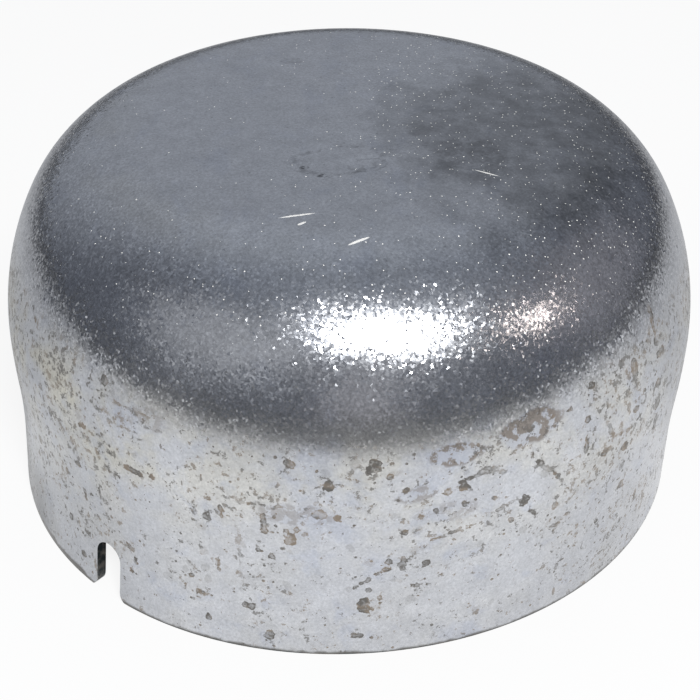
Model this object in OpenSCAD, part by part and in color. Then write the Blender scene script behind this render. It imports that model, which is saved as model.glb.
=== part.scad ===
// Hub grease cap: a pressed steel cup that closes the outer end of a wheel hub.
// One sheet, drawn in one piece: a short straight land that grips the hub's nose, a wall that swells
// a little to its widest line, a broad rounded shoulder and a slightly domed crown.
// The rim has one notch to pry the cap off at, and the lip round it has been sprung outward in use.
// Origin at the centre of the rim's face, +Z up towards the crown, pry notch towards -Y.

/* [Sheet] */
// Thickness of the pressed sheet
sheet_t = 1; // [0.6:0.05:1.6]
// Size of the broken edges of the rim, inside and outside
edge_break = 0.2; // [0.05:0.05:0.25]

/* [Press-fit land] */
// Inside diameter of the straight land that presses onto the hub's nose
bore_d = 60; // [48:0.1:75]
// Height of the straight land above the rim
land_h = 5; // [2:0.1:9]

/* [Swelling wall] */
// How far the widest line stands out beyond the land, measured on the radius
swell = 0.45; // [0.2:0.05:1.5]
// Height of the widest line above the rim
widest_z = 15.4; // [13:0.1:20]

/* [Shoulder and crown] */
// Height of the crown's top above the widest line
crown_h = 18.7; // [16:0.1:22]
// Radius of the shoulder's bend, which runs into the crown
shoulder_r = 13; // [9:0.1:15]
// How far the haunch draws the wall in from the widest line before the shoulder's bend takes over
haunch_in = 1.25; // [0.6:0.05:3]
// Radius of the slightly domed crown
crown_r = 300; // [150:5:600]

/* [Pry notch] */
// Width of the notch
notch_w = 2.9; // [2:0.1:6]
// Height of the notch from the rim to the top of its round end
notch_h = 5.4; // [4:0.1:8]
// Rounding of the notch's two corners at the rim
notch_corner_r = 0.6; // [0.2:0.05:0.8]

/* [Sprung lip] */
// How far the rim has been sprung outward at the notch
spring = 1.2; // [0.4:0.1:2]
// Height at which the sprung lip runs out into the wall
spring_h = 11.5; // [9:0.1:12.5]
// Half the angle of rim that is sprung, measured from the notch
spring_half_angle = 43; // [25:1:44]

/* [Hidden] */
zinc = [0.68, 0.69, 0.71];
curve_step = 3;      // degrees between the points of an arc
through = 2;         // how far a cutter reaches past the faces that it cuts
run_out = 3;         // how far the sprung lip's cone is carried on inside the wall
true_fn = 96;        // facets round a full circle

bore_r = bore_d / 2;
land_r = bore_r + sheet_t;
widest_r = land_r + swell;
height = widest_z + crown_h;

// The wall leaves the land in a hollow curve and comes upright again in an equal full one.
wave_h = widest_z - land_h;
wave_angle = 2 * atan(swell / wave_h);
wave_r = wave_h / (2 * sin(wave_angle));
wave_mid_z = land_h + wave_h / 2;

// The crown is a cap of a large ball. It slopes by crown_angle where the shoulder's bend takes over.
crown_centre = [0, height - crown_r];
bend_centre_r = widest_r - haunch_in - shoulder_r;
crown_angle = asin(bend_centre_r / (crown_r - shoulder_r));
bend_centre = crown_centre + (crown_r - shoulder_r) * [sin(crown_angle), cos(crown_angle)];

// The haunch is the arc that is upright at the widest line and runs into the shoulder's bend.
haunch_rise = bend_centre[1] - widest_z;
haunch_r = shoulder_r + haunch_in / 2 + haunch_rise ^ 2 / (2 * haunch_in);
haunch_centre = [widest_r - haunch_r, widest_z];
haunch_angle = atan2(haunch_rise, bend_centre[0] - haunch_centre[0]);

// Outside radius of the wall at a height below the widest line
function wall_r(z) =
    z < land_h ? land_r :
    z < wave_mid_z ? land_r + wave_r - sqrt(wave_r ^ 2 - (z - land_h) ^ 2) :
    widest_r - wave_r + sqrt(wave_r ^ 2 - (widest_z - z) ^ 2);

// Points of an arc about a centre, from one angle to another, with its first point left out
function arc_points(centre, r, from, to) =
    let (n = ceil(abs(to - from) / curve_step))
    [for (i = [1:n]) let (a = from + (to - from) * i / n) centre + r * [cos(a), sin(a)]];

// Half section a depth in from the outside, from the top of the land up to the axis
function skin(depth) = concat(
    [[land_r - depth, land_h]],
    arc_points([land_r + wave_r, land_h], wave_r + depth, 180, 180 - wave_angle),
    arc_points([widest_r - wave_r, widest_z], wave_r - depth, -wave_angle, 0),
    arc_points(haunch_centre, haunch_r - depth, 0, haunch_angle),
    arc_points(bend_centre, shoulder_r - depth, haunch_angle, 90 - crown_angle),
    arc_points(crown_centre, crown_r - depth, 90 - crown_angle, 90));

// The sprung lip is a cone about a line nearer the notch, so that it comes out of the wall there only.
lip_shift = (spring ^ 2 + 2 * land_r * spring) / (2 * land_r * (1 - cos(spring_half_angle)) + 2 * spring);
lip_rim_r = land_r + spring - lip_shift;
lip_run_out_r = wall_r(spring_h) - lip_shift;
lip_slope = (lip_run_out_r - lip_rim_r) / spring_h;

// Radius of the sprung lip's cone at a height
function lip_r(z) = lip_rim_r + lip_slope * z;

// Half section of a solid that stands on the rim's plane, with the rim's outer edge broken
function standing(r, upper) = concat([[0, 0], [r - edge_break, 0], [r, edge_break]], upper);

// Half section of a space that runs out below the rim's plane, with the rim's inner edge broken
function open_below(r, upper) =
    concat([[0, -through], [r + edge_break, -through], [r + edge_break, 0], [r, edge_break]], upper);

// Upper part of the sprung lip's half section, a depth in from its outside
function lip_top(depth) =
    let (top = spring_h + run_out) [[lip_r(top) - depth, top], [0, top]];

module turned(section) {
    rotate_extrude($fn = true_fn) polygon(section);
}

module outer_body() {
    turned(standing(land_r, skin(0)));
    translate([0, -lip_shift, 0]) turned(standing(lip_r(0), lip_top(0)));
}

module inner_space() {
    turned(open_below(bore_r, skin(sheet_t)));
    translate([0, -lip_shift, 0]) turned(open_below(lip_r(0) - sheet_t, lip_top(sheet_t)));
}

// The notch's outline as seen from the front: an upright slot with a round top and eased lower corners
module notch_outline() {
    half = notch_w / 2;
    translate([-half, -through]) square([notch_w, notch_h - half + through]);
    translate([0, notch_h - half]) circle(r = half, $fn = true_fn);
    difference() {
        translate([-half - notch_corner_r, -through])
            square([notch_w + 2 * notch_corner_r, through + notch_corner_r]);
        for (side = [-1, 1])
            translate([side * (half + notch_corner_r), notch_corner_r])
                circle(r = notch_corner_r, $fn = true_fn);
    }
}

module pry_notch() {
    reach = land_r + spring + through;
    translate([0, -land_r / 2, 0]) rotate([90, 0, 0])
        linear_extrude(height = reach - land_r / 2) notch_outline();
}

module grease_cap() {
    color(zinc) difference() {
        outer_body();
        inner_space();
        pry_notch();
    }
}

grease_cap();
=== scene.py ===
import math
import random
import bpy
from mathutils import Matrix, Vector


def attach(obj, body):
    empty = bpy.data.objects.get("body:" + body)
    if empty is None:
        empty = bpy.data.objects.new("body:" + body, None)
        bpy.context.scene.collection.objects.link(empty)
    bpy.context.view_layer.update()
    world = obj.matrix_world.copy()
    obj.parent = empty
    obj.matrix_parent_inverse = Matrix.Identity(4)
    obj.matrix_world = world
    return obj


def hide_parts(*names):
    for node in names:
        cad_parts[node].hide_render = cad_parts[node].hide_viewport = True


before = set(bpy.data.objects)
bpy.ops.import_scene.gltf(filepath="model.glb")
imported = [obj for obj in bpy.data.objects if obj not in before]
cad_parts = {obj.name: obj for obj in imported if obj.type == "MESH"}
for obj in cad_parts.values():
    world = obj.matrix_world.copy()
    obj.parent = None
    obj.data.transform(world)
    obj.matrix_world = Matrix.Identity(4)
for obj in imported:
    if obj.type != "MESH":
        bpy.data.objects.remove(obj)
bpy.context.view_layer.update()
print("frame loaded:", sorted(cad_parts))

cameraTurn = 40.2      # degrees from the pry notch round to the camera


# Values in a node tree, so that a formula can be written as it is read

class Num:
    def __init__(self, tree, socket):
        self.tree, self.socket = tree, socket

    def __add__(self, other): return calc(self.tree, "ADD", self, other)
    def __radd__(self, other): return calc(self.tree, "ADD", other, self)
    def __sub__(self, other): return calc(self.tree, "SUBTRACT", self, other)
    def __rsub__(self, other): return calc(self.tree, "SUBTRACT", other, self)
    def __mul__(self, other): return calc(self.tree, "MULTIPLY", self, other)
    def __rmul__(self, other): return calc(self.tree, "MULTIPLY", other, self)
    def __truediv__(self, other): return calc(self.tree, "DIVIDE", self, other)
    def __rtruediv__(self, other): return calc(self.tree, "DIVIDE", other, self)
    def __pow__(self, other): return calc(self.tree, "POWER", self, other)


def feed(tree, socket, value):
    if isinstance(value, Num):
        value = value.socket
    if isinstance(value, bpy.types.NodeSocket):
        tree.links.new(value, socket)
    elif value is not None:
        socket.default_value = value


def addNode(tree, kind, inputs=(), **settings):
    node = tree.nodes.new(kind)
    for name, value in settings.items():
        setattr(node, name, value)
    for name, value in dict(inputs).items():
        feed(tree, node.inputs[name], value)
    return node


def calc(tree, operation, *values):
    node = addNode(tree, "ShaderNodeMath", operation=operation)
    for socket, value in zip(node.inputs, values):
        feed(tree, socket, value)
    return Num(tree, node.outputs[0])


def newTree(name, kind, inputs, outputs):
    tree = bpy.data.node_groups.new(name, kind)
    for label, socketType in inputs.items():
        tree.interface.new_socket(name=label, in_out="INPUT", socket_type="NodeSocket" + socketType)
    for label, socketType in outputs.items():
        tree.interface.new_socket(name=label, in_out="OUTPUT", socket_type="NodeSocket" + socketType)
    return tree, tree.nodes.new("NodeGroupInput").outputs, tree.nodes.new("NodeGroupOutput").inputs


# The cap's shell: a section of lines and arcs, turned about the axis

capSizes = {           # mm and degrees
    "Bore radius": 30.0,
    "Sheet": 1.0,
    "Edge break": 0.2,
    "Land height": 5.0,
    "Swell": 0.45,
    "Widest height": 15.4,
    "Crown height": 18.7,
    "Shoulder radius": 13.0,
    "Haunch in": 1.25,
    "Crown radius": 300.0,
    "Spring": 1.2,
    "Spring height": 11.2,
    "Spring spread": 45.0,
    "Notch width": 2.9,
    "Notch height": 5.4,
    "Notch corner": 1.0,
}
capPoints = {          # points along each part of the section, outside and inside
    "crown": (18, 8), "bend": (20, 10), "haunch": (44, 16), "wave": (22, 8), "land": (18, 8), "edge": (5, 5),
    "rim": 3,
    "columns": 400,    # steps round the axis
    "gather": 0.6,     # how much closer they are on the camera's side
    "notch": (24, 6, 2),                        # its round top, its sides and corners, its cutter's ends
}
cutterSpan = (-20, -40)                         # mm along Y
cutterBelow = -2.0     # mm that it reaches below the rim
springEase = 1.3       # how fast the lip's spring dies away up the wall
sharpFrom = 35         # degrees between two faces
weld = 0.0005          # mm
wallRadius = 31.4      # mm, on which the wall's marks are laid out
markReach = 2.0        # mm past a mark's edge, beyond which its distance isn't needed

# Marks of use on the wall: degrees from the camera, mm above the rim, width, height, and how dark
wallBlotches = [
    (3.6, 19.6, 1.4, 1.5, .75), (1.1, 18.6, .4, .4, .6), (6.0, 18.7, .6, .6, .6), (8.1, 17.4, .6, .6, .7),
    (14.2, 16.8, .7, .7, .55), (16.6, 17.1, .9, .9, .9), (31.0, 21.1, .5, .5, .6), (34.3, 21.2, .7, .7, .6),
    (38.9, 22.2, .9, .9, .9), (26.4, 14.0, 1.2, 1.2, .9), (24.5, 12.3, .6, .6, .6), (17.6, 12.8, .6, .6, .6),
    (10.5, 14.7, .5, .5, .6), (12.6, 15.1, .5, .5, .6), (17.0, 15.3, .6, .6, .6), (21.5, 15.2, .5, .5, .6),
    (8.2, 13.2, .6, .6, .7), (6.0, 10.0, .7, .7, .6), (8.2, 9.8, .6, 1.6, .6), (11.6, 9.5, .6, .6, .6),
    (10.2, 7.1, 1, .35, .6), (12.0, 7.1, .5, .3, .6), (2.8, 5.3, 1.4, 1.9, 1.0), (4.8, 6.1, .5, .5, .6),
    (1.5, 2.2, 1.1, .5, .6), (49.0, 21.2, .8, 2, .6), (55.8, 23.7, .5, 4.5, .6), (56.9, 20.6, 1.5, .8, .6),
    (37.5, 17.3, .5, 1.6, .6), (37.6, 19.5, .6, .6, .6), (42.1, 19.7, .5, .5, .6), (49.0, 17.5, .8, .8, .6),
    (51.4, 18.6, .6, .6, .6), (41.7, 15.2, .8, .8, .9), (46.8, 14.3, 1, 1, .9), (44.5, 11.9, .4, 1.4, .6),
    (47.9, 9.7, 1, 1, .6), (32.4, 12.1, .7, .7, .6), (32.4, 13.0, .5, .5, .6), (35.3, 10.4, .6, .6, .6),
    (33.0, 9.7, 1, .4, .6), (48.5, 7.7, .5, .5, .6), (42.7, 7.2, .5, .5, .6), (54.0, 6.2, .5, 1.5, .6),
    (56.5, 13.5, .6, 2.5, .6), (56.0, 15.7, 1.2, 1.2, .6), (56.0, 17.9, 1, 1, .6), (-2.7, 18.0, .8, 1.1, .9),
    (-8.2, 19.7, 1, .8, .6), (-4.0, 15.2, 1.2, .9, .5), (-1.5, 14.9, .6, .6, .9), (-8.8, 13.2, .6, .6, .6),
    (-7.3, 13.4, .6, .6, .6), (-8.3, 12.4, .9, 1.5, .7), (-12.1, 13.7, .5, 2.2, .6), (-18.5, 14.1, .35, 1.4, .6),
    (-20.8, 13.1, .8, .8, .6), (-20.4, 13.8, .6, .6, .6), (-11.1, 10.2, .6, .6, .6), (-13.0, 10.7, .5, .5, .6),
    (-19.7, 8.4, .4, .9, .6), (-23.0, 4.6, .4, 1.1, .6), (-24.2, 6.2, .6, .6, .6), (-28.0, 5.8, .4, .4, .6),
    (-14.8, 4.5, 1.2, .6, .6), (-21.2, 2.4, .5, .8, .6), (-11.7, 1.8, .8, 1, .6), (-29.7, 15.5, .6, .6, .9),
    (-33.2, 15.3, 2, .6, .9), (-37.8, 16.0, .5, .5, .6), (-40.4, 15.3, .6, .6, .6), (-37.3, 14.0, 1.6, .4, .6),
    (-43.7, 17.0, 1, .6, .9), (-39.1, 22.3, 1, 1, .6), (-42.1, 21.7, .8, .4, .6), (-59.4, 22.7, .7, .7, .6),
    (-66.0, 23.3, .6, .6, .6), (-52.5, 15.7, .6, 1, .6), (-46.7, 14.6, .4, 1, .6), (-46.1, 12.3, .7, .7, .6),
    (-45.4, 9.2, .4, 1.4, .6), (-41.5, 10.7, .4, 1.6, .6), (-50.0, 10.2, .5, .8, .6), (-35.7, 6.5, .4, .8, .6),
    (-34.3, 5.3, .5, .9, .6), (-35.2, 4.1, .5, .5, .6), (-49.8, 5.1, .6, 1, .6), (-45.2, 5.0, .8, .5, .6),
    (-46.2, 2.4, .8, .7, .6),
]
# Scratches and dribbles: width, how dark, and the places that each runs through
wallScratches = [
    (.5, .5, (16.1, 17.5), (20.3, 18.2), (23.2, 17.5)),
    (.45, .5, (27.2, 18.5), (28.9, 17.2), (30.9, 16.1), (32.8, 14.9), (34.3, 13.7), (35.2, 12.8)),
    (.5, .5, (22.3, 13.9), (25.2, 14.5)), (.5, .5, (27.6, 12.9), (28.9, 11.7)),
    (.5, .5, (12.3, 12.0), (16.6, 12.8)),
    (.3, .5, (19.9, 12.4), (22.1, 12.4)), (.4, .5, (31.6, 5.2), (33.2, 5.6)), (.4, .5, (34.2, 4.4), (35.8, 5.0)),
    (.35, .5, (1.0, 7.3), (2.9, 8.1), (5.2, 9.1), (8.0, 9.8), (9.8, 10.8)),
    (.4, .5, (41.8, 18.4), (43.4, 16.3), (47.7, 15.9), (50.6, 16.4)), (.5, .5, (47.1, 12.9), (46.8, 10.7)),
    (.25, .5, (37.7, 9.1), (38.4, 7.3)), (.35, .5, (-3.6, 17.3), (-4.6, 16.1)),
    (.4, .4, (-18.0, 15.6), (-9.4, 15.6)), (.35, .5, (-9.9, 16.8), (-9.9, 15.8)),
    (.4, .25, (-16.1, 12.9), (-15.9, 5.8)), (.3, .4, (-48.7, 22.4), (-45.8, 23.7)),
    (.4, .4, (-52.0, 21.1), (-48.2, 21.0)), (.3, .4, (-40.6, 19.7), (-28.2, 20.1)),
    (.3, .4, (-37.8, 19.2), (-32.1, 19.1)),
    (.25, .4, (-42.4, 21.1), (-29.1, 20.9)),
]
markChance = {         # mm, and shares of the mark's own width and tone
    "seed": 7,
    "crumbs": 3, "spread": 1.3, "crumb": (0.10, 0.2), "crumbTone": (0.6, 1.0),
    "dash": (0.2, 1.1), "sway": 0.12, "dashWidth": (0.25, 0.5), "dashTone": (0.6, 1.5), "pause": (0.1, 0.7),
}


def arcPiece(tree, centreX, centreZ, radius, start, sweep, points):
    arc = addNode(tree, "GeometryNodeCurveArc", {"Resolution": points, "Radius": radius, "Start Angle": start,
                                                 "Sweep Angle": sweep}, mode="RADIUS")
    centre = addNode(tree, "ShaderNodeCombineXYZ", {"X": centreX, "Y": centreZ})
    moved = addNode(tree, "GeometryNodeTransform", {"Geometry": arc.outputs["Curve"],
                                                    "Translation": centre.outputs[0]})
    return moved.outputs[0]


def linePiece(tree, startX, startZ, endX, endZ, points):
    start = addNode(tree, "ShaderNodeCombineXYZ", {"X": startX, "Y": startZ})
    end = addNode(tree, "ShaderNodeCombineXYZ", {"X": endX, "Y": endZ})
    line = addNode(tree, "GeometryNodeCurvePrimitiveLine", {"Start": start.outputs[0], "End": end.outputs[0]})
    cut = addNode(tree, "GeometryNodeResampleCurve", {"Curve": line.outputs[0], "Count": points}, mode="COUNT")
    return cut.outputs[0]


def joinPieces(tree, pieces):
    join = tree.nodes.new("GeometryNodeJoinGeometry")
    for piece in reversed(pieces):      # the last one linked comes first
        tree.links.new(piece, join.inputs[0])
    return join.outputs[0]


def curveSection(tree, size):
    # the section as one curve: down the outside, across the rim and back up the inside
    half, full = math.pi / 2, math.pi
    sheet, edge = size["Sheet"], size["Edge break"]
    landR = size["Bore radius"] + sheet
    landH, widestZ = size["Land height"], size["Widest height"]
    widestR = landR + size["Swell"]
    waveH = widestZ - landH
    waveAngle = 2 * calc(tree, "ARCTANGENT", size["Swell"] / waveH)
    waveR = waveH / (2 * calc(tree, "SINE", waveAngle))
    crownR, shoulderR = size["Crown radius"], size["Shoulder radius"]
    crownZ = widestZ + size["Crown height"] - crownR
    bendX = widestR - size["Haunch in"] - shoulderR
    crownAngle = calc(tree, "ARCSINE", bendX / (crownR - shoulderR))
    bendZ = crownZ + (crownR - shoulderR) * calc(tree, "COSINE", crownAngle)
    rise = bendZ - widestZ
    haunchR = shoulderR + size["Haunch in"] / 2 + rise * rise / (2 * size["Haunch in"])
    haunchX = widestR - haunchR
    haunchAngle = calc(tree, "ARCTAN2", rise, bendX - haunchX)
    bendSweep = half - crownAngle - haunchAngle

    def skin(depth, side):
        # the five arcs between the axis and the land, down the outside (0) or back up the inside (1)
        arcs = [
            ("crown", 0.0, crownZ, crownR - depth, half, 0 - crownAngle),
            ("bend", bendX, bendZ, shoulderR - depth, half - crownAngle, 0 - bendSweep),
            ("haunch", haunchX, widestZ, haunchR - depth, haunchAngle, 0 - haunchAngle),
            ("wave", widestR - waveR, widestZ, waveR - depth, 0.0, 0 - waveAngle),
            ("wave", landR + waveR, landH, waveR + depth, full - waveAngle, waveAngle),
        ]
        if side == 1:
            arcs = [(part, x, z, r, start + sweep, 0 - sweep) for part, x, z, r, start, sweep in reversed(arcs)]
        return [arcPiece(tree, *arc, capPoints[part][side]) for part, *arc in arcs]

    boreR = landR - sheet
    outside = skin(0.0, 0) + [linePiece(tree, landR, landH, landR, edge, capPoints["land"][0])]
    rim = [
        arcPiece(tree, landR - edge, edge, edge, 0.0, -half, capPoints["edge"][0]),
        linePiece(tree, landR - edge, 0.0, boreR + edge, 0.0, capPoints["rim"]),
        arcPiece(tree, boreR + edge, edge, edge, -half, -half, capPoints["edge"][1]),
    ]
    inside = [linePiece(tree, boreR, edge, boreR, landH, capPoints["land"][1])] + skin(sheet, 1)
    return joinPieces(tree, outside + rim + inside)


def storeValues(tree, geometry, values):
    for name, value in values.items():
        stored = addNode(tree, "GeometryNodeStoreNamedAttribute",
                         {"Geometry": geometry, "Name": name, "Value": value}, data_type="FLOAT", domain="POINT")
        geometry = stored.outputs[0]
    return geometry


def storedValue(tree, name):
    node = addNode(tree, "GeometryNodeInputNamedAttribute", {"Name": name}, data_type="FLOAT")
    return node.outputs["Attribute"]


def nearestMark(tree, marks, spot):
    # how far a spot of the unrolled wall is from the edge of the nearest mark, and how dark that mark is
    near = addNode(tree, "GeometryNodeProximity", {"Geometry": marks, "Sample Position": spot},
                   target_element="EDGES")
    which = addNode(tree, "GeometryNodeSampleNearest", {"Geometry": marks, "Sample Position": spot}, domain="EDGE")
    found = {}
    for name in ("halfWidth", "tone"):
        sample = addNode(tree, "GeometryNodeSampleIndex", {"Geometry": marks, "Index": which.outputs[0]},
                         data_type="FLOAT", domain="EDGE")
        feed(tree, sample.inputs["Value"], storedValue(tree, name))
        found[name] = Num(tree, sample.outputs[0])
    gap = calc(tree, "MINIMUM", Num(tree, near.outputs["Distance"]) - found["halfWidth"], markReach)
    return {"markGap": gap, "markTone": found["tone"]}


def turnSection(tree, given, size, section):
    # one grid row for each point of the section, one column for each step round the axis
    position = tree.nodes.new("GeometryNodeInputPosition").outputs[0]
    count = addNode(tree, "GeometryNodeAttributeDomainSize", {"Geometry": section}, component="CURVE")
    rows = count.outputs["Point Count"]
    grid = addNode(tree, "GeometryNodeMeshGrid", {"Size X": 1.0, "Size Y": 1.0, "Vertices Y": rows})
    feed(tree, grid.inputs["Vertices X"], calc(tree, "ADD", given["Columns"], 1))
    spot = addNode(tree, "ShaderNodeSeparateXYZ", {"Vector": position})
    row = calc(tree, "ROUND", (Num(tree, spot.outputs["Y"]) + 0.5) * (Num(tree, rows) - 1))
    onSection = addNode(tree, "GeometryNodeSampleIndex", {"Geometry": section, "Index": row},
                        data_type="FLOAT_VECTOR", domain="POINT")
    feed(tree, onSection.inputs["Value"], position)
    found = addNode(tree, "ShaderNodeSeparateXYZ", {"Vector": onSection.outputs[0]})
    radius, height = Num(tree, found.outputs["X"]), Num(tree, found.outputs["Y"])

    # closer columns on the side that carries the most marks
    toCamera = calc(tree, "RADIANS", given["Gather at"])
    even = Num(tree, spot.outputs["X"]) * (2 * math.pi)
    turn = even - Num(tree, given["Gather"]) * calc(tree, "SINE", even - toCamera)

    # the lip is sprung outward round the notch, which is at turn 0
    low = calc(tree, "MAXIMUM", 1 - height / size["Spring height"], 0.0) ** springEase
    wide = turn / calc(tree, "RADIANS", size["Spring spread"])
    sprung = radius + size["Spring"] * low * calc(tree, "EXPONENT", 0 - wide * wide)
    turned = addNode(tree, "ShaderNodeCombineXYZ", {"X": sprung * calc(tree, "SINE", turn),
                                                    "Y": 0 - sprung * calc(tree, "COSINE", turn), "Z": height})

    # zone 0 is the outside, 1 the rim's edge and 2 the inside
    outerRows = sum(capPoints[part][0] for part in ("crown", "bend", "haunch", "wave", "wave", "land"))
    rimRows = sum(capPoints["edge"]) + capPoints["rim"]
    zone = (calc(tree, "GREATER_THAN", row, outerRows - 0.5)
            + calc(tree, "GREATER_THAN", row, outerRows + rimRows - 0.5))
    fromCamera = calc(tree, "WRAP", turn - toCamera, math.pi, -math.pi)
    unrolled = addNode(tree, "ShaderNodeCombineXYZ", {"X": fromCamera * wallRadius, "Y": height})
    marks = nearestMark(tree, given["Marks"], unrolled.outputs[0])
    described = storeValues(tree, grid.outputs["Mesh"], {"zone": zone, **marks})
    shell = addNode(tree, "GeometryNodeSetPosition", {"Geometry": described, "Position": turned.outputs[0]})
    merged = addNode(tree, "GeometryNodeMergeByDistance", {"Geometry": shell.outputs[0], "Distance": weld})
    return addNode(tree, "GeometryNodeFlipFaces", {"Mesh": merged.outputs[0]}).outputs[0]


def notchCutter(tree, size):
    # the notch's outline, swept along -Y through the wall
    half, full = math.pi / 2, math.pi
    wide, corner, top = size["Notch width"] / 2, size["Notch corner"], size["Notch height"]
    side, below = wide + corner, cutterBelow
    crest, flank, end = capPoints["notch"]
    outline = [
        arcPiece(tree, 0.0, top - wide, wide, 0.0, full, crest),
        linePiece(tree, 0 - wide, top - wide, 0 - wide, corner, flank),
        arcPiece(tree, 0 - side, corner, corner, 0.0, -half, flank),
        linePiece(tree, 0 - side, 0.0, 0 - side, below, end),
        linePiece(tree, 0 - side, below, side, below, end),
        linePiece(tree, side, below, side, 0.0, end),
        arcPiece(tree, side, corner, corner, -half, -half, flank),
        linePiece(tree, wide, corner, wide, top - wide, flank),
    ]
    wires = addNode(tree, "GeometryNodeCurveToMesh", {"Curve": joinPieces(tree, outline)})
    loop = addNode(tree, "GeometryNodeMergeByDistance", {"Geometry": wires.outputs[0], "Distance": weld})
    ring = addNode(tree, "GeometryNodeMeshToCurve", {"Mesh": loop.outputs[0]})
    turnedRing = addNode(tree, "GeometryNodeTransform", {"Geometry": ring.outputs[0], "Rotation": (0, 0, full)})
    near, far = cutterSpan
    path = addNode(tree, "GeometryNodeCurvePrimitiveLine", {"Start": (0, near, 0), "End": (0, far, 0)})
    upright = addNode(tree, "GeometryNodeSetCurveNormal", {"Curve": path.outputs[0]}, mode="Z_UP")
    bar = addNode(tree, "GeometryNodeCurveToMesh", {"Curve": upright.outputs[0], "Fill Caps": True,
                                                    "Profile Curve": turnedRing.outputs[0]})
    return bar.outputs[0]


def setMaterial(tree, geometry, material, selection=None):
    node = addNode(tree, "GeometryNodeSetMaterial", {"Geometry": geometry, "Material": material,
                                                     "Selection": selection})
    return node.outputs[0]


def buildShellTree():
    inputs = {"Marks": "Geometry", **{name: "Float" for name in capSizes}}
    inputs.update({"Columns": "Int", "Gather": "Float", "Gather at": "Float"})
    inputs.update({name: "Material" for name in ("Outside", "Rim edge", "Inside")})
    tree, given, result = newTree("turnedSheet", "GeometryNodeTree", inputs, {"Geometry": "Geometry"})
    size = {name: Num(tree, given[name]) for name in capSizes}
    turned = turnSection(tree, given, size, curveSection(tree, size))

    # the notch is cut out of it, and its cheeks belong to the rim's edge
    cut = addNode(tree, "GeometryNodeMeshBoolean", operation="DIFFERENCE", solver="MANIFOLD")
    cheeks = setMaterial(tree, notchCutter(tree, size), given["Rim edge"])
    tree.links.new(setMaterial(tree, turned, given["Outside"]), cut.inputs["Mesh 1"])
    tree.links.new(storeValues(tree, cheeks, {"zone": 1.0}), cut.inputs["Mesh 2"])
    clean = addNode(tree, "GeometryNodeMergeByDistance", {"Geometry": cut.outputs["Mesh"], "Distance": weld})

    smooth = addNode(tree, "GeometryNodeSetShadeSmooth", {"Geometry": clean.outputs[0], "Shade Smooth": True},
                     domain="FACE")
    angle = addNode(tree, "GeometryNodeInputMeshEdgeAngle").outputs["Unsigned Angle"]
    steep = calc(tree, "GREATER_THAN", angle, math.radians(sharpFrom))
    sharp = addNode(tree, "GeometryNodeSetShadeSmooth", {"Geometry": smooth.outputs[0], "Selection": steep,
                                                         "Shade Smooth": False}, domain="EDGE")
    inMetres = addNode(tree, "GeometryNodeTransform", {"Geometry": sharp.outputs[0], "Scale": (0.001, 0.001, 0.001)})
    real = addNode(tree, "GeometryNodeRealizeInstances", {"Geometry": inMetres.outputs[0]}).outputs[0]
    zone = storedValue(tree, "zone")
    rim = setMaterial(tree, real, given["Rim edge"], calc(tree, "GREATER_THAN", zone, 0.6))
    inside = setMaterial(tree, rim, given["Inside"], calc(tree, "GREATER_THAN", zone, 1.6))
    tree.links.new(inside, result["Geometry"])
    return tree


def drawMarks():
    # every mark as short lines on the unrolled wall, with half its width and its tone on each
    lines, luck = [], random.Random(markChance["seed"])
    spread, sway = markChance["spread"], markChance["sway"]
    for turn, height, wide, high, tone in wallBlotches:
        x, half = math.radians(turn) * wallRadius, min(wide, high) / 2
        reachX, reachY = max(wide / 2 - half, 0.01), high / 2 - half
        lean = -1 if high > wide else 1
        lines.append(((x - reachX, height - reachY), (x + reachX * lean, height + reachY), half, tone))
        for _ in range(luck.randint(0, markChance["crumbs"])):
            spot = (x + luck.uniform(-spread, spread), height + luck.uniform(-spread, spread))
            crumb = luck.uniform(*markChance["crumb"])
            lines.append((spot, (spot[0] + 0.02, spot[1]), crumb, tone * luck.uniform(*markChance["crumbTone"])))
    for wide, tone, *corners in wallScratches:
        spots = [Vector((math.radians(turn) * wallRadius, height)) for turn, height in corners]
        for start, end in zip(spots, spots[1:]):
            at, length = 0.0, (end - start).length
            while at < length:                   # a broken line of uneven dashes
                dash = luck.uniform(*markChance["dash"])
                a, b = (start.lerp(end, min(t, length) / length) for t in (at, at + dash))
                off = Vector((luck.uniform(-sway, sway), luck.uniform(-sway, sway)))
                half = wide * luck.uniform(*markChance["dashWidth"])
                lines.append((tuple(a + off), tuple(b - off), half, tone * luck.uniform(*markChance["dashTone"])))
                at += dash + luck.uniform(*markChance["pause"])
    drawn = bpy.data.meshes.new("wallMarks")
    points = [(*spot, 0) for line in lines for spot in line[:2]]
    drawn.from_pydata(points, [(2 * i, 2 * i + 1) for i in range(len(lines))], [])
    for name, column in (("halfWidth", 2), ("tone", 3)):
        stored = drawn.attributes.new(name, "FLOAT", "EDGE")
        stored.data.foreach_set("value", [line[column] for line in lines])
    print("marks drawn:", len(lines))
    return drawn


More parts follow.
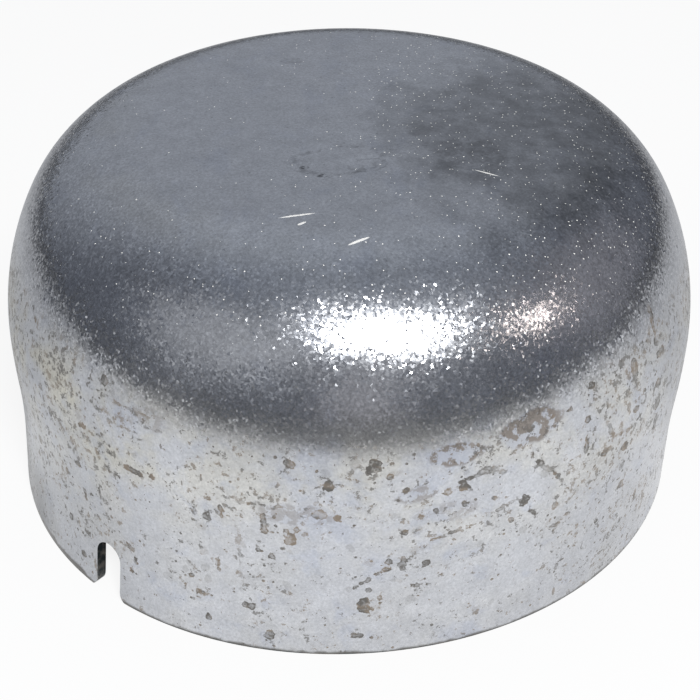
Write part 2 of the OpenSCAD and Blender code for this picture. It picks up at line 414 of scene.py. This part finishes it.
def buildCap(materials):
    tree = buildShellTree()
    maker = bpy.data.objects.new("shellMaker", drawMarks())
    for material in materials.values():
        maker.data.materials.append(material)
    bpy.context.scene.collection.objects.link(maker)
    modifier = maker.modifiers.new("turnedSheet", "NODES")
    modifier.node_group = tree
    wanted = {**capSizes, **materials, "Columns": capPoints["columns"], "Gather": capPoints["gather"],
              "Gather at": cameraTurn}
    for item in tree.interface.items_tree:
        if item.item_type == "SOCKET" and item.in_out == "INPUT" and item.name in wanted:
            modifier[item.identifier] = wanted[item.name]
    bpy.context.view_layer.update()
    evaluated = maker.evaluated_get(bpy.context.evaluated_depsgraph_get())
    mesh = bpy.data.meshes.new_from_object(evaluated)
    maker.modifiers.remove(modifier)
    bpy.data.objects.remove(maker)
    for slot in reversed([i for i, material in enumerate(mesh.materials) if material is None]):
        mesh.materials.pop(index=slot)
    mesh.name = "greaseCap"
    cap = bpy.data.objects.new("greaseCap", mesh)
    bpy.context.scene.collection.objects.link(cap)
    print("cap turned:", len(mesh.vertices), "points,", len(mesh.polygons), "faces")
    return cap


# Finishes

def place(tree, group, **inputs):
    node = addNode(tree, "ShaderNodeGroup", node_tree=group)
    for name, value in inputs.items():
        feed(tree, node.inputs[name], value)
    return node.outputs


def ramp(tree, value, low, high, bottom=0.0, top=1.0, kind="SMOOTHSTEP"):
    # goes from bottom to top while the value goes from low to high
    node = addNode(tree, "ShaderNodeMapRange", {"From Min": low, "From Max": high, "To Min": bottom, "To Max": top},
                   interpolation_type=kind)
    feed(tree, node.inputs["Value"], value)
    return Num(tree, node.outputs["Result"])


def noise(tree, vector, size, detail=2.0, rough=0.5):
    # size is the width of one lump in the vector's own unit
    node = addNode(tree, "ShaderNodeTexNoise", {"Vector": vector, "Scale": 1.0 / size, "Detail": detail,
                                                "Roughness": rough})
    return node.outputs


def lumps(tree, vector, size, detail=2.0, rough=0.5):
    return Num(tree, noise(tree, vector, size, detail, rough)["Fac"])


def blendColour(tree, amount, below, above):
    node = addNode(tree, "ShaderNodeMix", data_type="RGBA")
    feed(tree, node.inputs["Factor"], amount)
    for socket, colour in ((node.inputs[6], below), (node.inputs[7], above)):
        if isinstance(colour, tuple):
            colour = (*colour, 1.0)
        feed(tree, socket, colour)
    return node.outputs[2]


def times(tree, colour, factor):
    scaled = addNode(tree, "ShaderNodeVectorMath", {0: colour}, operation="MULTIPLY")
    feed(tree, scaled.inputs[1], factor)
    return scaled.outputs[0]


def shaderGroup(name, vectors, numbers, outputs):
    inputs = {**{label: "Vector" for label in vectors}, **{label: "Float" for label in numbers}}
    return newTree(name, "ShaderNodeTree", inputs, outputs)


def capPlace():
    # where a point is on the cap: how far round and up in mm, and on which part of the pressing
    parts = {label: "Float" for label in ("Height", "Radius", "Shoulder", "Crown")}
    tree, given, result = shaderGroup("capPlace", ["Vector"], [], {"Round": "Vector", **parts})
    part = addNode(tree, "ShaderNodeSeparateXYZ", {"Vector": given["Vector"]})
    x, y, z = (Num(tree, part.outputs[k]) for k in "XYZ")
    radius = calc(tree, "SQRT", x * x + y * y)
    around = calc(tree, "ARCTAN2", x, 0 - y) * wallRadius
    onWall = addNode(tree, "ShaderNodeCombineXYZ", {"X": around, "Y": z})
    feed(tree, result["Round"], onWall.outputs[0])
    feed(tree, result["Height"], z)
    feed(tree, result["Radius"], radius)
    feed(tree, result["Shoulder"], ramp(tree, z, 19.5, 25.0) * ramp(tree, radius, 17.0, 25.0))
    feed(tree, result["Crown"], ramp(tree, radius, 24.0, 17.0) * ramp(tree, z, 31.0, 33.5))
    return tree


def specks():
    # ragged dots, one in each cell that the share lets through
    tree, given, result = shaderGroup("specks", ["Vector"], ["Cell", "Share", "Reach", "Ragged"], {"Mask": "Float"})
    cell = Num(tree, given["Cell"])
    wobble = addNode(tree, "ShaderNodeTexNoise", {"Vector": given["Vector"], "Scale": 1.7 / cell, "Detail": 2.0})
    cells = addNode(tree, "ShaderNodeTexVoronoi", {"Vector": given["Vector"], "Scale": 1.0 / cell},
                    voronoi_dimensions="3D")
    luck = addNode(tree, "ShaderNodeSeparateColor", {"Color": cells.outputs["Color"]})
    chosen = calc(tree, "LESS_THAN", luck.outputs["Red"], given["Share"])
    reach = Num(tree, given["Reach"]) * (0.45 + 0.55 * Num(tree, luck.outputs["Green"]))
    uneven = (Num(tree, wobble.outputs["Fac"]) - 0.5) * Num(tree, given["Ragged"])
    distance = Num(tree, cells.outputs["Distance"]) + uneven
    feed(tree, result["Mask"], ramp(tree, distance / reach, 1.0, 0.75) * chosen)
    return tree


def placedMark():
    # a ragged oval at one place, and its outline
    tree, given, result = shaderGroup("placedMark", ["Vector", "Centre"],
                                      ["Length", "Width", "Turn", "Ragged", "Lump"],
                                      {"Mask": "Float", "Outline": "Float"})
    half = addNode(tree, "ShaderNodeCombineXYZ", {"X": Num(tree, given["Length"]) / 2,
                                                  "Y": Num(tree, given["Width"]) / 2, "Z": 1e4})
    turn = addNode(tree, "ShaderNodeCombineXYZ", {"Z": calc(tree, "RADIANS", given["Turn"])})
    local = addNode(tree, "ShaderNodeMapping", {"Vector": given["Vector"], "Location": given["Centre"],
                                                "Rotation": turn.outputs[0], "Scale": half.outputs[0]},
                    vector_type="TEXTURE")
    away = addNode(tree, "ShaderNodeVectorMath", {0: local.outputs[0]}, operation="LENGTH")
    uneven = lumps(tree, given["Vector"], Num(tree, given["Lump"]), 7.0, 0.68) - 0.5
    distance = Num(tree, away.outputs["Value"]) + uneven * Num(tree, given["Ragged"])
    feed(tree, result["Mask"], ramp(tree, distance, 1.15, 0.85))
    feed(tree, result["Outline"], ramp(tree, calc(tree, "ABSOLUTE", distance - 1.0), 0.16, 0.04))
    return tree


def mottle():
    # uneven tint, from 0 to 1
    tree, given, result = shaderGroup("mottle", ["Vector"], ["Size", "Low", "High"], {"Mask": "Float"})
    broad = addNode(tree, "ShaderNodeTexNoise", {"Vector": given["Vector"], "Scale": 1.0 / Num(tree, given["Size"]),
                                                 "Detail": 5.0, "Roughness": 0.6, "Distortion": 0.3})
    feed(tree, result["Mask"], ramp(tree, broad.outputs["Fac"], given["Low"], given["High"]))
    return tree


groups = {"place": capPlace(), "specks": specks(), "mark": placedMark(), "mottle": mottle()}


def mottled(tree, vector, size, low, high):
    found = place(tree, groups["mottle"], Vector=vector, Size=size, Low=low, High=high)
    return Num(tree, found["Mask"])


def speckled(tree, vector, cell, share, reach, ragged):
    found = place(tree, groups["specks"], Vector=vector, Cell=cell, Share=share, Reach=reach, Ragged=ragged)
    return Num(tree, found["Mask"])


def marked(tree, vector, centre, length, width, turn, ragged, lump):
    found = place(tree, groups["mark"], Vector=vector, Centre=centre, Length=length, Width=width, Turn=float(turn),
                  Ragged=ragged, Lump=lump)
    return {part: Num(tree, found[part]) for part in ("Mask", "Outline")}


def bumped(tree, height, strength, depth):
    # depth in m
    node = addNode(tree, "ShaderNodeBump", {"Strength": strength, "Distance": depth, "Height": height})
    return node.outputs[0]


def slanted(tree, vector, turn, stretch):
    # the vector turned and squeezed, so that round specks come out as leaning dashes
    node = addNode(tree, "ShaderNodeMapping", {"Vector": vector, "Rotation": (0, 0, math.radians(turn)),
                                               "Scale": (1.0, 1.0 / stretch, 1.0)})
    return node.outputs[0]


def newFinish(material):
    # its tree, its shader's inputs and object coordinates in mm, turned so that the camera is towards -Y
    material.use_nodes = True
    tree = material.node_tree
    coordinates = addNode(tree, "ShaderNodeTexCoord")
    turned = addNode(tree, "ShaderNodeMapping", {"Vector": coordinates.outputs["Object"],
                                                 "Rotation": (0, 0, -math.radians(cameraTurn)),
                                                 "Scale": (1000, 1000, 1000)})
    return tree, tree.nodes["Principled BSDF"].inputs, turned.outputs[0]


zincFinish = {         # colours are linear, sizes in mm
    "metal": (0.595, 0.609, 0.638),
    "cream": (0.66, 0.64, 0.56),
    "blue": (0.48, 0.515, 0.60),
    "stain": (0.125, 0.118, 0.108),
    "taupe": (0.235, 0.195, 0.155),
    # pale and rough: dust, and painted glints on the crown
    "dustAndGlint": (0.78, 0.77, 0.73),
    "roughness": 0.215,
    "grain": 0.175,
    "grainTilt": (0.03, 0.08, 0.175),           # on the wall, the crown and the shoulder
    "grainDullness": (0.05, 0.06, 0.30),        # everywhere, and more on the crown and the shoulder
    "paintedCornerShade": 0.72,                        # painted shade low on the left of the wall, by the rim: how much darker
    "paintedSideShade": (0.21, 0.11),                  # painted shade: how much darker to the left and right
    "spotsRougher": 0.20, "spotsLessMetal": 0.35, "brightRougher": 0.4, "unevenRoughness": 0.08,
}
wallPatches = [        # middle as mm round from the camera and mm up, length, width, turn, strength
    ((8.5, 20.0, 0), 4.6, 1.9, 0, 1.0), ((15.0, 20.8, 0), 5.8, 2.8, 5, 1.0), ((5.4, 16.9, 0), 3.4, 1.4, 10, 0.6),
    ((-4.2, 15.0, 0), 6.0, 2.2, 0, 0.5), ((8.6, 14.8, 0), 3.4, 2.2, 0, 0.4), ((-17.5, 20.5, 0), 5.0, 2.4, 10, 0.4),
]
crownStains = [        # wide and soft: middle, length, width, how dark
    ((14.0, -3.5, 0), 17.0, 24.0, 0.30), ((13.0, -3.0, 0), 22.0, 31.0, 0.24), ((20.0, 2.0, 0), 14.0, 22.0, 0.14),
]
crownMarks = [         # middle, length, width, turn, raggedness, lump size, how dark, which part
    ((10.0, -7.5, 0), 6.0, 7.0, 0, 0.7, 2.0, 0.22, "Mask"),
    ((-1.0, -8.6, 0), 7.6, 4.4, 12, 0.9, 2.6, 0.30, "Outline"),
    ((1.4, -9.4, 0), 3.2, 2.0, 20, 1.0, 1.2, 0.22, "Outline"),
    ((-3.8, -9.8, 0), 0.9, 0.5, 0, 0.5, 0.5, 0.75, "Mask"),
    ((-2.1, -11.1, 0), 1.2, 0.5, 15, 0.5, 0.5, 0.70, "Mask"),
    ((-5.5, 11.4, 0), 2.2, 1.4, 0, 0.6, 1.0, 0.20, "Mask"),
]
crownScratches = [     # painted glints of bare scratches: middle, length, width, turn
    ((-4.1, -17.1, 0), 2.8, 0.22, 13), ((0.7, -20.3, 0), 2.0, 0.22, 28), ((11.2, -10.2, 0), 2.0, 0.18, -25),
    ((-3.7, -18.2, 0), 0.8, 0.22, 35),
]


def outsidePlace(tree, mm):
    # where each point of the outside is, for the layers of the finish
    where = place(tree, groups["place"], Vector=mm)
    at = {"mm": mm, "unrolled": where["Round"]}
    for name in ("Height", "Shoulder", "Crown"):
        at[name.lower()] = Num(tree, where[name])
    around = Num(tree, addNode(tree, "ShaderNodeSeparateXYZ", {"Vector": where["Round"]}).outputs["X"])
    facing = ramp(tree, calc(tree, "ABSOLUTE", around), 90.0, 60.0)      # left and right meet evenly behind
    at.update({
        "around": around,
        "facing": facing,
        "left": ramp(tree, around, -8.0, -24.0) * facing,
        "right": ramp(tree, around, 8.0, 22.0) * facing,
        "sides": calc(tree, "MAXIMUM", ramp(tree, around, -15.0, -28.0), ramp(tree, around, 15.0, 26.0)),
        "wall": calc(tree, "MAXIMUM", 1 - at["shoulder"] - at["crown"], 0.0),
        "top": ramp(tree, at["height"], 26.0, 30.0),
        "upper": ramp(tree, at["height"], 8.0, 19.0, 0.25, 1.0),
        "patches": mottled(tree, mm, 6.0, low=0.42, high=0.62),
    })
    return at


def facetGrain(tree, mm):
    # small facets over the stretched sheet: a colour for each, and a number by chance
    warped = addNode(tree, "ShaderNodeVectorMath", {0: noise(tree, mm, 0.3, 1.0)["Color"], 1: (0.25, 0.25, 0.25),
                                                    2: mm}, operation="MULTIPLY_ADD")
    facets = addNode(tree, "ShaderNodeTexVoronoi", {"Vector": warped.outputs[0], "Scale": 1.0 / zincFinish["grain"]},
                     voronoi_dimensions="3D").outputs["Color"]
    luck = addNode(tree, "ShaderNodeTexWhiteNoise", {"Vector": facets})
    return facets, Num(tree, luck.outputs["Value"])


def tilted(tree, at, facets, luck):
    # each facet leans its own way, so that single ones catch the light
    low, middle, high = zincFinish["grainTilt"]
    lean = addNode(tree, "ShaderNodeVectorMath", {0: facets, 1: (0.5, 0.5, 0.5)}, operation="SUBTRACT")
    amount = low * at["wall"] + middle * at["crown"] + high * at["shoulder"]
    amount = amount * ramp(tree, at["height"], 22.5, 27.0, 0.55, 1.0)
    amount = amount * ramp(tree, lumps(tree, at["mm"], 1.3, detail=3.0), 0.3, 0.7, 0.6, 1.3)
    amount = amount * (0.58 + 1.45 * luck * luck * luck)
    leaning = addNode(tree, "ShaderNodeVectorMath", {0: lean.outputs[0]}, operation="SCALE")
    feed(tree, leaning.inputs["Scale"], amount)
    straight = addNode(tree, "ShaderNodeNewGeometry").outputs["Normal"]
    added = addNode(tree, "ShaderNodeVectorMath", {0: straight, 1: leaning.outputs[0]}, operation="ADD")
    return addNode(tree, "ShaderNodeVectorMath", {0: added.outputs[0]}, operation="NORMALIZE").outputs[0]


def tinted(tree, at, colour):
    # cream and blue film, cloudy and powdery; painted shade darkens it low on the left near the rim and towards the
    # left and right sides
    mm, around, wall = at["mm"], at["around"], at["wall"]
    creamy = mottled(tree, mm, 6.0, low=0.38, high=0.60) * wall * at["upper"] * (0.50 + 0.45 * at["left"])
    colour = blendColour(tree, creamy, colour, zincFinish["cream"])
    bluish = mottled(tree, slanted(tree, mm, turn=0, stretch=1.6), 3.0, low=0.52, high=0.70)
    colour = blendColour(tree, bluish * (0.25 + 0.25 * wall), colour, zincFinish["blue"])
    cloud = ramp(tree, lumps(tree, mm, 2.4, detail=5.0, rough=0.72), 0.3, 0.7, 0.86, 1.06, "LINEAR")
    powder = ramp(tree, lumps(tree, mm, 0.22, detail=2.0, rough=0.7), 0.25, 0.75, 0.84, 1.16, "LINEAR")
    # painted shade: the cap's shadow on the floor, mirrored low on the wall's left
    cornerShade = ramp(tree, around, -28.0, -35.0) * ramp(tree, around, -75.0, -50.0) * ramp(tree, at["height"], 9.0, 0.0)
    onLeft, onRight = zincFinish["paintedSideShade"]
    # painted shade: darker towards the left and right sides of the wall, as seen from the camera
    wearAndShade = onLeft * ramp(tree, around, -12.0, -25.0) + onRight * ramp(tree, around, 13.0, 25.0)
    dark = (1 - zincFinish["paintedCornerShade"] * cornerShade) * (1 - wearAndShade * wall * at["facing"])
    return times(tree, colour, cloud * powder * dark)


def patched(tree, at, colour):
    # mottled patches of bluish zinc with brown crumbs
    coarse = lumps(tree, at["mm"], 1.3, detail=5.0, rough=0.70)
    patch = 0.0
    for centre, length, width, turn, strength in wallPatches:
        spot = marked(tree, at["unrolled"], centre, length, width, turn, ragged=1.0, lump=1.8)
        patch = calc(tree, "MAXIMUM", patch, spot["Mask"] * strength)
    colour = blendColour(tree, patch * 0.55, colour, zincFinish["blue"])
    return blendColour(tree, patch * ramp(tree, coarse, 0.49, 0.53) * 0.8, colour, zincFinish["taupe"])


def smallDirt(tree, at):
    # dashes, dots and crumbs, densest towards the two far sides of the wall
    mm, unrolled, height, patches, sides = (at[name] for name in ("mm", "unrolled", "height", "patches", "sides"))
    dots = speckled(tree, mm, 0.62, share=0.10 + 0.35 * patches + 0.2 * sides, reach=0.27, ragged=0.4)
    smudges = speckled(tree, mm, 1.7, share=0.15 + 0.5 * patches, reach=0.34, ragged=0.7)
    leftDash = speckled(tree, slanted(tree, unrolled, turn=22, stretch=3.2), 0.9,
                        share=(0.05 + 0.4 * patches) * at["left"], reach=0.20, ragged=0.2)
    lower = ramp(tree, height, 15.0, 10.0, 0.25, 1.0)
    rightDash = speckled(tree, slanted(tree, unrolled, turn=-38, stretch=3.0), 0.8,
                         share=(0.06 + 0.45 * patches) * at["right"] * lower, reach=0.22, ragged=0.2)
    crumb = lumps(tree, mm, 0.62, detail=4.0, rough=0.72)
    crumb = crumb + 0.055 * patches + 0.04 * sides + 0.03 * at["upper"]
    layers = (dots * 0.9, smudges * 0.22, ramp(tree, crumb, 0.625, 0.675) * 0.75, leftDash * 0.75, rightDash * 0.75)
    darkest = layers[0]
    for layer in layers[1:]:
        darkest = calc(tree, "MAXIMUM", darkest, layer)
    return darkest * ramp(tree, height - 2.2 * sides, 22.4, 20.4)


def markFilm(tree, at):
    # the placed marks: an uneven film with a darker outline
    gap, tone = (Num(tree, addNode(tree, "ShaderNodeAttribute", attribute_name=name).outputs["Fac"])
                 for name in ("markGap", "markTone"))
    gap = gap + (lumps(tree, at["mm"], 0.55, detail=3.0, rough=0.6) - 0.5) * 0.75
    body = ramp(tree, gap, 0.07, -0.07)
    outline = ramp(tree, calc(tree, "ABSOLUTE", gap + 0.04), 0.10, 0.02)
    inner = ramp(tree, lumps(tree, at["mm"], 0.4, detail=3.0, rough=0.65), 0.38, 0.60, 0.55, 1.1)
    return (body * inner + outline * 0.45) * 1.35 * tone * ramp(tree, at["height"], 25.5, 24.5)


def rimLine(tree, at):
    # the dark line along the rim: painted contact shade, partly dirt, wider beside the notch
    wide = 0.55 + 0.5 * ramp(tree, at["around"], -20.0, -26.0)
    ledge = lumps(tree, at["mm"], 1.6, detail=3.0, rough=0.6) * wide
    return ramp(tree, at["height"] - ledge, 0.22, -0.10) * 0.9


def crownShade(tree, at):
    # stains and pits on the crown
    mm = at["mm"]
    blotchy = ramp(tree, lumps(tree, mm, 2.6, detail=5.0, rough=0.62), 0.34, 0.62, 0.55, 1.0)
    broken = ramp(tree, lumps(tree, mm, 0.9, detail=4.0, rough=0.65), 0.42, 0.58)
    shade = 1.0
    for centre, length, width, dark in crownStains:
        stain = marked(tree, mm, centre, length, width, turn=0, ragged=1.5, lump=5.0)
        shade = shade * (1 - stain["Mask"] * blotchy * dark)
    for centre, length, width, turn, ragged, lump, dark, part in crownMarks:
        shade = shade * (1 - marked(tree, mm, centre, length, width, turn, ragged, lump)[part] * dark * broken)
    pits = speckled(tree, mm, 0.55, share=0.10 + 0.25 * at["patches"], reach=0.24, ragged=0.3)
    return 1 - at["top"] * (1 - shade * (1 - 0.22 * pits))


def dustAndGlintSpecks(tree, at):
    # painted glints, partly dust: pale, rough grains and bare scratches on top, denser to the right and near the
    # crown's edge, stand in for sparkles that catch the light
    around = at["around"]
    share = (0.10 + 0.65 * ramp(tree, around, -14.0, 27.0) * ramp(tree, around, 98.0, 85.0)
             + 0.35 * ramp(tree, at["height"], 33.0, 30.5))
    bright = speckled(tree, at["mm"], 0.40, share=share, reach=0.17, ragged=0.1)
    for centre, length, width, turn in crownScratches:
        scratch = marked(tree, at["mm"], centre, length, width, turn, ragged=1.1, lump=0.35)
        bright = calc(tree, "MAXIMUM", bright, scratch["Mask"] * 0.8)
    return bright * at["top"]


def makeOutside(material):
    tree, shader, mm = newFinish(material)
    at = outsidePlace(tree, mm)
    facets, luck = facetGrain(tree, mm)
    everywhere, onCrown, onShoulder = zincFinish["grainDullness"]
    dull = everywhere + onShoulder * at["shoulder"] + onCrown * at["crown"]
    colour = times(tree, zincFinish["metal"], 1 + (luck - 0.5) * dull)
    colour = patched(tree, at, tinted(tree, at, colour))
    spots = calc(tree, "MINIMUM", calc(tree, "MAXIMUM", markFilm(tree, at), smallDirt(tree, at)), 1.0)
    brown = mottled(tree, mm, 2.2, low=0.45, high=0.58)
    colour = blendColour(tree, spots, colour, blendColour(tree, brown, zincFinish["stain"], zincFinish["taupe"]))
    # painted contact shade along the rim, partly dirt, in the stain colour
    colour = blendColour(tree, rimLine(tree, at), colour, zincFinish["stain"])
    colour = times(tree, colour, crownShade(tree, at))
    # painted glints, partly dust, on top
    bright = dustAndGlintSpecks(tree, at)
    feed(tree, shader["Base Color"], blendColour(tree, bright, colour, zincFinish["dustAndGlint"]))
    feed(tree, shader["Metallic"], (1.0 - zincFinish["spotsLessMetal"] * spots) * (1 - bright))
    rough = zincFinish["roughness"] + zincFinish["spotsRougher"] * spots + zincFinish["brightRougher"] * bright
    uneven = (lumps(tree, mm, 4.0, detail=4.0) - 0.5) * zincFinish["unevenRoughness"]
    feed(tree, shader["Roughness"], rough + uneven)
    feed(tree, shader["Normal"], tilted(tree, at, facets, luck))


rimFinish = {
    # dark: old grease, and painted shade where the notch's cheeks mirror the dark inside
    "dark": (0.035, 0.045, 0.048), "wearAndShade": (0.16, 0.15, 0.135), "bare": (0.50, 0.50, 0.49), "roughness": 0.42,
}


def makeRim(material):
    # the cut edge of the sheet: near black, partly old grease and partly painted shade for the notch's cheeks, which
    # mirror the dark inside; bare where it meets the outside
    tree, shader, mm = newFinish(material)
    where = place(tree, groups["place"], Vector=mm)
    height, radius = Num(tree, where["Height"]), Num(tree, where["Radius"])
    landRadius = capSizes["Bore radius"] + capSizes["Sheet"]
    outer = landRadius + capSizes["Spring"] * (1 - height / capSizes["Spring height"])
    bare = ramp(tree, radius - outer, -0.20, -0.04) * ramp(tree, height, 0.15, 0.5)
    wearAndShade = mottled(tree, mm, 1.1, low=0.42, high=0.62)
    colour = blendColour(tree, wearAndShade, rimFinish["dark"], rimFinish["wearAndShade"])
    colour = blendColour(tree, bare * (0.5 + 0.5 * wearAndShade), colour, rimFinish["bare"])
    feed(tree, shader["Base Color"], colour)
    feed(tree, shader["Metallic"], 0.8)
    feed(tree, shader["Roughness"], rimFinish["roughness"] + 0.15 * wearAndShade - 0.1 * bare)
    gritty = lumps(tree, mm, 0.25, detail=2.0, rough=0.6)
    feed(tree, shader["Normal"], bumped(tree, gritty, strength=0.6, depth=0.00002))


insideFinish = {
    "metal": (0.44, 0.445, 0.45), "grease": (0.20, 0.17, 0.12), "rubbed": (0.60, 0.60, 0.61), "roughness": 0.38,
}


def makeInside(material):
    # dull zinc with a smear of old grease, and a rubbed land
    tree, shader, mm = newFinish(material)
    where = place(tree, groups["place"], Vector=mm)
    height = Num(tree, where["Height"])
    greasy = mottled(tree, mm, 9.0, low=0.44, high=0.62) * ramp(tree, height, 4.0, 9.0)
    streaks = lumps(tree, slanted(tree, where["Round"], turn=0, stretch=0.12), 0.4, detail=3.0, rough=0.6)
    land = ramp(tree, height, 5.4, 4.6) * ramp(tree, streaks, 0.4, 0.6)
    dots = speckled(tree, mm, 1.4, share=0.2, reach=0.25, ragged=0.4)
    colour = blendColour(tree, land * 0.7, insideFinish["metal"], insideFinish["rubbed"])
    colour = blendColour(tree, greasy * 0.75, colour, insideFinish["grease"])
    colour = blendColour(tree, dots * 0.6, colour, zincFinish["stain"])
    feed(tree, shader["Base Color"], colour)
    feed(tree, shader["Metallic"], 1 - 0.6 * greasy)
    feed(tree, shader["Roughness"], insideFinish["roughness"] - 0.12 * greasy + 0.05 * streaks)
    feed(tree, shader["Normal"], bumped(tree, lumps(tree, mm, 0.6, detail=3.0), strength=0.5, depth=0.0001))


materials = {}
for label, name, make in (("Outside", "outsideZinc", makeOutside), ("Rim edge", "rimSteel", makeRim),
                          ("Inside", "insideZinc", makeInside)):
    materials[label] = bpy.data.materials.new(name)
    make(materials[label])
print("finishes made")

cap = buildCap(materials)
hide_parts("grease_cap")
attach(cap, "root")


# Floor, light and camera

studio = {             # m and W; azimuths are counted from the camera's side
    "floorColour": (0.80, 0.80, 0.80),
    "floorReach": 6.0,
    "brightTo": (0.085, 0.165), "brightDrop": 0.16,       # how the lit sheet fades in reflections
    "nearTo": (0.033, 0.085), "nearDrop": 0.82,
    "backTo": (-0.45, 0.35), "backDrop": 0.68,
    "sideways": 0.54, "backwards": 0.44,                  # under 1, the sheet is longer that way
    "seenPaper": 0.985, "seenShare": 0.88,                # the paper as the camera sees it
    "lightDistance": 0.6, "lightAim": 0.02,
    "lights": {        # azimuth and elevation, power, size, colour, tilt in degrees
        "key": ((15, 45.1), 4.7, (0.23, 0.05), (1.0, 1.0, 1.0), -18),
        "warm": ((65, 28), 0.15, (0.09, 0.07), (1.0, 0.86, 0.78), 0),
    },
    "room": (0.13, 0.14, 0.165),
    "seenRoom": (0.98, 0.98, 0.98),
    "glows": [         # azimuth and elevation, inner and outer half angle, colour
        ((-165, 34), 12, 62, (0.23, 0.24, 0.255)),
        ((-50, 29), 6, 30, (0.29, 0.29, 0.29)),
        ((-28, 22), 4, 18, (0.15, 0.15, 0.15)),
        ((4, 7), 4, 17, (0.24, 0.225, 0.22)),
        ((95, 24), 8, 34, (0.12, 0.11, 0.11)),
        ((0, 90), 10, 50, (0.10, 0.11, 0.125)),
    ],
}
cameraSight = {        # m, degrees and mm, found by matching the outline
    "distance": 0.119473, "height": 0.092198, "aim": 0.008873, "aside": 0.000099, "roll": 0.368, "lens": 77.393,
    "sensor": 36.0, "clipStart": 0.005,
}


def towards(azimuth, elevation):
    a, e = math.radians(azimuth + cameraTurn), math.radians(elevation)
    return Vector((math.sin(a) * math.cos(e), -math.cos(a) * math.cos(e), math.sin(e)))


def addLight(name, at, power, size, colour, tilt):
    light = bpy.data.lights.new(name, "AREA")
    light.energy, light.color, light.shape = power, colour, "ELLIPSE"
    light.size, light.size_y = size
    lamp = bpy.data.objects.new(name, light)
    lamp.location = Vector((0, 0, studio["lightAim"])) + towards(*at) * studio["lightDistance"]
    facing = towards(*at).to_track_quat("Z", "Y").to_matrix()
    lamp.rotation_euler = (facing @ Matrix.Rotation(math.radians(tilt), 3, "Z")).to_euler()
    bpy.context.scene.collection.objects.link(lamp)


def cameraSees(tree):
    return Num(tree, addNode(tree, "ShaderNodeLightPath").outputs["Is Camera Ray"])


def makeFloor():
    # pale paper: reflections see it lit round the cap and dim beyond, the camera sees it plain
    mesh = bpy.data.meshes.new("floor")
    reach = studio["floorReach"]
    corners = [(-reach, -reach, 0), (reach, -reach, 0), (reach, reach, 0), (-reach, reach, 0)]
    mesh.from_pydata(corners, [], [(0, 1, 2, 3)])
    floor = bpy.data.objects.new("floor", mesh)
    bpy.context.scene.collection.objects.link(floor)
    material = bpy.data.materials.new("paper")
    material.use_nodes = True
    tree = material.node_tree
    tree.nodes.remove(tree.nodes["Principled BSDF"])
    coordinates = addNode(tree, "ShaderNodeTexCoord")
    turned = addNode(tree, "ShaderNodeMapping", {"Vector": coordinates.outputs["Object"],
                                                 "Rotation": (0, 0, -math.radians(cameraTurn))})
    spot = addNode(tree, "ShaderNodeSeparateXYZ", {"Vector": turned.outputs[0]})
    x, y = Num(tree, spot.outputs["X"]) * studio["sideways"], Num(tree, spot.outputs["Y"])
    y = y * ramp(tree, y, -0.001, 0.001, 1.0, studio["backwards"])
    away = calc(tree, "SQRT", x * x + y * y)
    lit = ramp(tree, away, *studio["brightTo"], 1.0, studio["brightDrop"])
    lit = lit * ramp(tree, away, *studio["nearTo"], 1.0, studio["nearDrop"])
    lit = lit * ramp(tree, y / away, *studio["backTo"], 1.0, studio["backDrop"])
    sight = cameraSees(tree)
    colour = addNode(tree, "ShaderNodeVectorMath", {0: studio["floorColour"], 1: calc(tree, "MAXIMUM", lit, sight)},
                     operation="MULTIPLY")
    paper = addNode(tree, "ShaderNodeBsdfDiffuse", {"Color": colour.outputs[0]})
    glow = addNode(tree, "ShaderNodeEmission", {"Color": (*[studio["seenPaper"]] * 3, 1), "Strength": 1.0})
    both = addNode(tree, "ShaderNodeMixShader", {"Fac": studio["seenShare"] * sight})
    tree.links.new(paper.outputs[0], both.inputs[1])
    tree.links.new(glow.outputs[0], both.inputs[2])
    tree.links.new(both.outputs[0], tree.nodes["Material Output"].inputs["Surface"])
    mesh.materials.append(material)


def makeSurroundings():
    # the dim room that the metal mirrors; the camera itself sees plain pale paper
    world = bpy.data.worlds.new("room")
    bpy.context.scene.world = world
    world.use_nodes = True
    tree = world.node_tree
    direction = addNode(tree, "ShaderNodeTexCoord").outputs["Generated"]
    total = studio["room"]
    for at, inner, outer, colour in studio["glows"]:
        facing = addNode(tree, "ShaderNodeVectorMath", {0: direction, 1: towards(*at)}, operation="DOT_PRODUCT")
        share = ramp(tree, facing.outputs["Value"], math.cos(math.radians(outer)), math.cos(math.radians(inner)))
        part = addNode(tree, "ShaderNodeVectorMath", {0: colour, 1: share}, operation="MULTIPLY")
        total = addNode(tree, "ShaderNodeVectorMath", {0: total, 1: part.outputs[0]}, operation="ADD").outputs[0]
    seen = blendColour(tree, cameraSees(tree), total, studio["seenRoom"])
    feed(tree, tree.nodes["Background"].inputs["Color"], seen)


def makeCamera():
    camera = bpy.data.objects.new("camera", bpy.data.cameras.new("camera"))
    a = math.radians(cameraTurn)
    right = Vector((math.cos(a), math.sin(a), 0))
    front = Vector((math.sin(a), -math.cos(a), 0))
    camera.location = front * cameraSight["distance"] + Vector((0, 0, cameraSight["height"]))
    aim = right * cameraSight["aside"] + Vector((0, 0, cameraSight["aim"]))
    look = (aim - camera.location).to_track_quat("-Z", "Y").to_matrix()
    camera.rotation_euler = (look @ Matrix.Rotation(math.radians(cameraSight["roll"]), 3, "Z")).to_euler()
    camera.data.lens = cameraSight["lens"]
    camera.data.sensor_width = cameraSight["sensor"]
    camera.data.clip_start = cameraSight["clipStart"]
    bpy.context.scene.collection.objects.link(camera)
    bpy.context.scene.camera = camera


makeFloor()
makeSurroundings()
for name, values in studio["lights"].items():
    addLight(name, *values)
makeCamera()
bpy.context.scene.view_settings.view_transform = "Standard"
bpy.context.scene.cycles.caustics_reflective = False
print("stage set")

bpy.context.view_layer.update()
